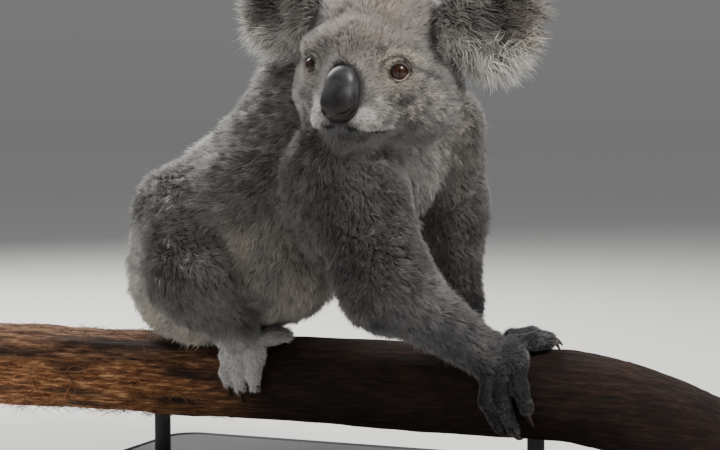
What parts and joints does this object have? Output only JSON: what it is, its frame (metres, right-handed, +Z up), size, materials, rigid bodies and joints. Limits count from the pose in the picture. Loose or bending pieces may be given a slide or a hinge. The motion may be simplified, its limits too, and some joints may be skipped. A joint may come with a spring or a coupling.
{
  "type": "koala on a branch perch",
  "caption": "Life-size still model of a koala crouching along a cut length of branch, on a plain display stand.",
  "frame": {"origin": "middle of the underside of the stand's base, on the floor", "axes": "+X along the branch towards the animal's front end, -Y the way the face looks, +Z up"},
  "size_m": [0.79, 0.3063, 0.5166],
  "materials": {
    "fur": "dense woolly fur, ash grey with paler tips, in tufts that follow the body",
    "ear_fur": "long soft fur, grey behind with a cream-white fringe",
    "paw_fur": "short close fur, dark grey on the hands and pale on the hind toes",
    "nose_leather": "bare black skin, finely pebbled, slightly moist",
    "eye": "wet brown eye with an upright slit pupil",
    "claw": "dark horn, streaked lengthwise",
    "bark": "reddish-brown fibrous bark, frayed in places, with pale sawn ends",
    "stand_board": "board with satin charcoal paint",
    "stand_rod": "satin charcoal paint"
  },
  "bodies": {
    "root": {"ear_left": "ear_fur", "ear_right": "ear_fur", "eye_left": "eye", "eye_right": "eye", "foot_left": "paw_fur", "foot_left_claw_2": "claw", "foot_left_claw_3": "claw", "foot_left_claw_4": "claw", "foot_left_claw_5": "claw", "foot_right": "paw_fur", "foot_right_claw_2": "claw", "foot_right_claw_3": "claw", "foot_right_claw_4": "claw", "foot_right_claw_5": "claw", "forearm_left": "fur", "forearm_right": "fur", "hand_left": "paw_fur", "hand_left_claw_1": "claw", "hand_left_claw_2": "claw", "hand_left_claw_3": "claw", "hand_left_claw_4": "claw", "hand_left_claw_5": "claw", "hand_right": "paw_fur", "hand_right_claw_1": "claw", "hand_right_claw_2": "claw", "hand_right_claw_3": "claw", "hand_right_claw_4": "claw", "hand_right_claw_5": "claw", "head": "fur", "neck": "fur", "nose": "nose_leather", "perch_log": "bark", "shin_left": "fur", "shin_right": "fur", "stand_base": "stand_board", "stand_rod_left": "stand_rod", "stand_rod_right": "stand_rod", "thigh_left": "fur", "thigh_right": "fur", "trunk": "fur", "upper_arm_left": "fur", "upper_arm_right": "fur"}
  },
  "joints": []
}
